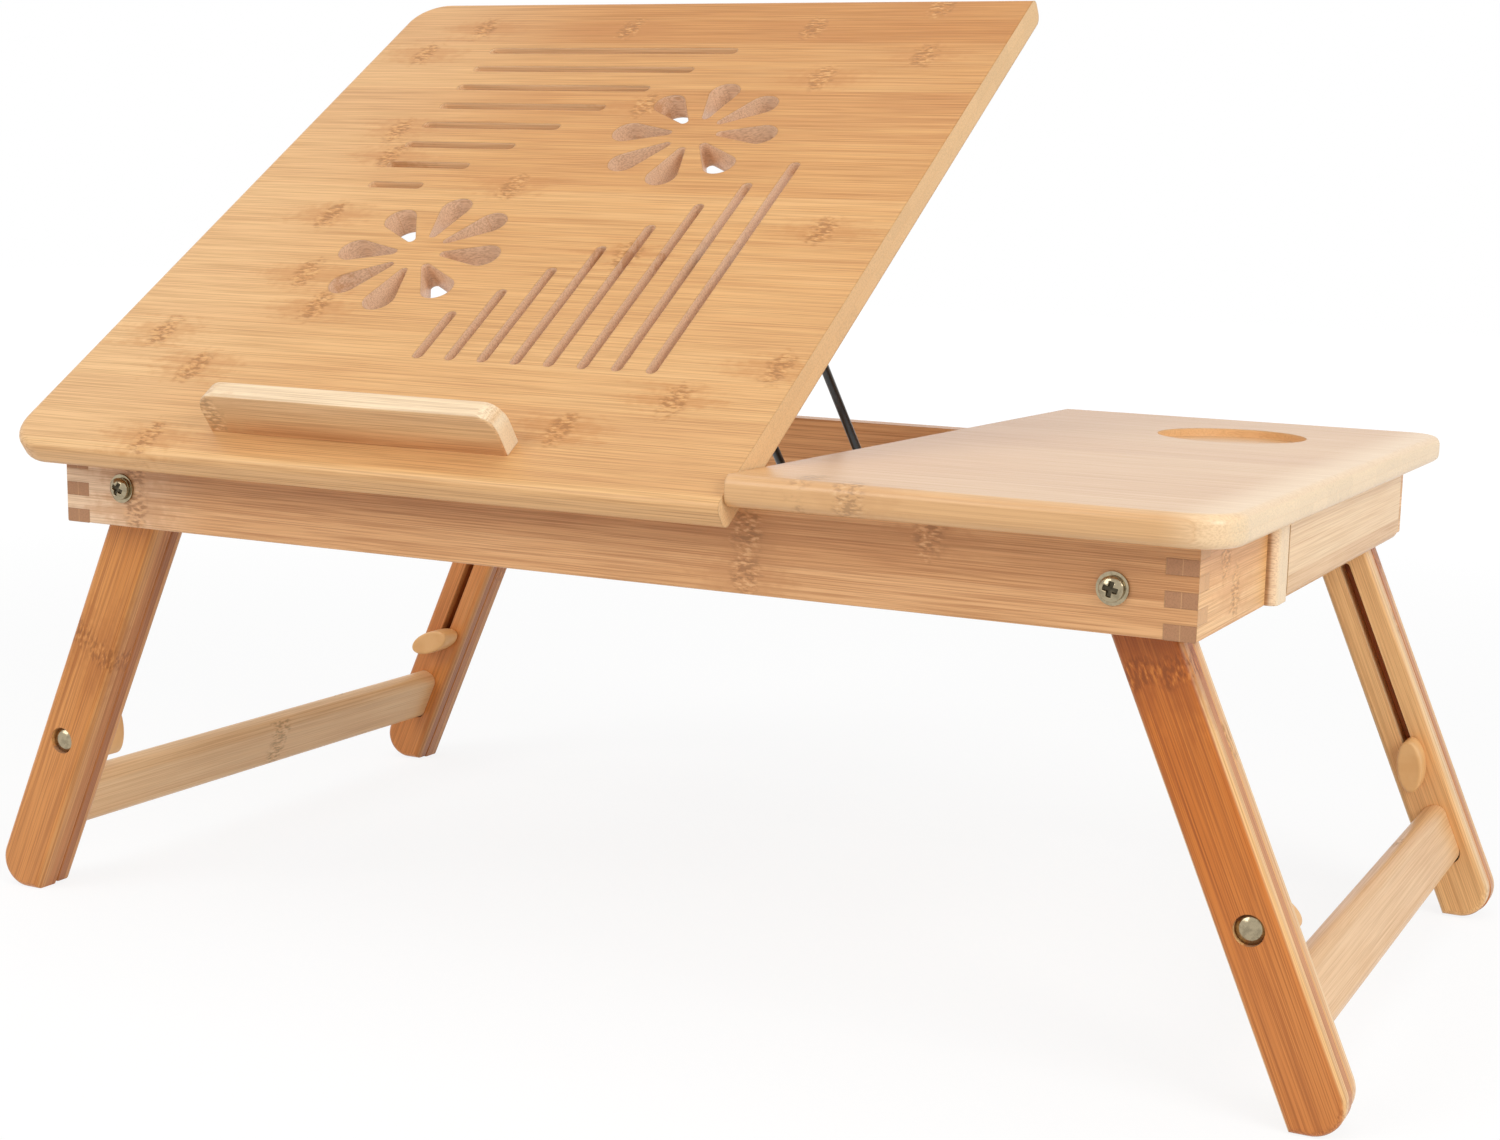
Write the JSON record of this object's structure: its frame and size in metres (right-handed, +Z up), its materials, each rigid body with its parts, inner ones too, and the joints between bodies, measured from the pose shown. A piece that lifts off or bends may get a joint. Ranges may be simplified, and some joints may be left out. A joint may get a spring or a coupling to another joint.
{
  "type": "laptop bed table",
  "caption": "Low bamboo bed table with a tilting vented panel on a wire prop, a fixed side panel with a cup recess over a drawer, and folding telescopic legs.",
  "frame": {"origin": "on the floor under the middle of the apron", "axes": "+X along the table towards the drawer end, +Y from the front edge to the back, +Z up"},
  "size_m": [0.6168, 0.3633, 0.4121],
  "materials": {
    "bamboo_rail": "laminated bamboo, satin varnish",
    "bamboo_panel": "laminated bamboo, satin varnish",
    "bamboo_pale": "laminated bamboo, satin varnish",
    "bamboo_leg": "laminated bamboo, satin varnish",
    "bamboo_drawer": "laminated bamboo, satin varnish",
    "steel": "polished zinc plate",
    "black_wire": "black enamel",
    "black_plastic": "moulded",
    "tan_plastic": "moulded, tan"
  },
  "bodies": {
    "frame": {"front_rail": "bamboo_rail", "rear_rail": "bamboo_rail", "left_end_rail": "bamboo_rail", "right_front_stub": "bamboo_rail", "right_rear_post": "bamboo_rail", "seam_slat": "bamboo_pale", "prop_rack": "bamboo_pale", "rack_arms": "bamboo_pale", "fixed_top": "bamboo_panel", "drawer_cheek_near": "bamboo_drawer", "drawer_cheek_far": "bamboo_drawer", "drawer_divider": "bamboo_drawer", "drawer_runners": "bamboo_drawer", "pivot_bolts": "steel", "pivot_washers": "steel", "pivot_nuts": "steel", "hinge_leaves_lower": "steel", "hinge_pins": "steel", "hinge_screws_lower": "steel"},
    "tilt_panel": {"tilt_panel": "bamboo_panel", "page_ledge": "bamboo_pale", "ledge_screws": "steel", "hinge_leaves_upper": "steel", "hinge_screws_upper": "steel", "prop_bearings": "black_plastic"},
    "prop": {"prop_wire": "black_wire"},
    "drawer": {"drawer_front": "bamboo_drawer", "drawer_side_near": "bamboo_drawer", "drawer_side_far": "bamboo_drawer", "drawer_back": "bamboo_drawer", "drawer_bottom": "bamboo_drawer"},
    "right_leg_pair": {"right_near_outer_leg": "bamboo_leg", "right_far_outer_leg": "bamboo_leg", "right_height_bolts": "steel"},
    "right_extension": {"right_near_inner_leg": "bamboo_leg", "right_far_inner_leg": "bamboo_leg", "right_crossbar": "bamboo_pale"},
    "right_near_knob": {"right_near_knob": "tan_plastic"},
    "right_far_knob": {"right_far_knob": "tan_plastic"},
    "left_leg_pair": {"left_near_outer_leg": "bamboo_leg", "left_far_outer_leg": "bamboo_leg", "left_height_bolts": "steel"},
    "left_extension": {"left_near_inner_leg": "bamboo_leg", "left_far_inner_leg": "bamboo_leg", "left_crossbar": "bamboo_pale"},
    "left_near_knob": {"left_near_knob": "tan_plastic"},
    "left_far_knob": {"left_far_knob": "tan_plastic"}
  },
  "joints": [
    {"name": "panel_tilt", "type": "hinge", "parent": "frame", "child": "tilt_panel", "pos_m": [0, -0.1641, 0.20735], "axis": [1, 0, 0], "range_deg": [-34.8, 0]},
    {"name": "prop_swing", "type": "hinge", "parent": "tilt_panel", "child": "prop", "pos_m": [0.0135, -0.05369, 0.28774], "axis": [1, 0, 0], "range_deg": [0, 82.3]},
    {"name": "drawer_slide", "type": "slide", "parent": "frame", "child": "drawer", "axis": [1, 0, 0], "range_m": [0, 0.11]},
    {"name": "right_legs_fold", "type": "hinge", "parent": "frame", "child": "right_leg_pair", "pos_m": [0.2195, 0, 0.1892], "axis": [0, 1, 0], "range_deg": [0, 113.5]},
    {"name": "right_legs_extend", "type": "slide", "parent": "right_leg_pair", "child": "right_extension", "axis": [-0.3987, 0, 0.9171], "range_m": [-0.095, 0]},
    {"name": "right_near_knob_turn", "type": "hinge", "parent": "right_leg_pair", "child": "right_near_knob", "pos_m": [0.27074, -0.13, 0.07136], "axis": [0, 1, 0], "continuous": true},
    {"name": "right_far_knob_turn", "type": "hinge", "parent": "right_leg_pair", "child": "right_far_knob", "pos_m": [0.27074, 0.13, 0.07136], "axis": [0, -1, 0], "continuous": true},
    {"name": "left_legs_fold", "type": "hinge", "parent": "frame", "child": "left_leg_pair", "pos_m": [-0.2195, 0, 0.1892], "axis": [0, -1, 0], "range_deg": [0, 113.5]},
    {"name": "left_legs_extend", "type": "slide", "parent": "left_leg_pair", "child": "left_extension", "axis": [0.3987, 0, 0.9171], "range_m": [-0.095, 0]},
    {"name": "left_near_knob_turn", "type": "hinge", "parent": "left_leg_pair", "child": "left_near_knob", "pos_m": [-0.27074, -0.13, 0.07136], "axis": [0, 1, 0], "continuous": true},
    {"name": "left_far_knob_turn", "type": "hinge", "parent": "left_leg_pair", "child": "left_far_knob", "pos_m": [-0.27074, 0.13, 0.07136], "axis": [0, -1, 0], "continuous": true}
  ],
  "couplings": [
    {"joint": "prop_swing", "follows": "panel_tilt", "ratio": -2.3649}
  ]
}
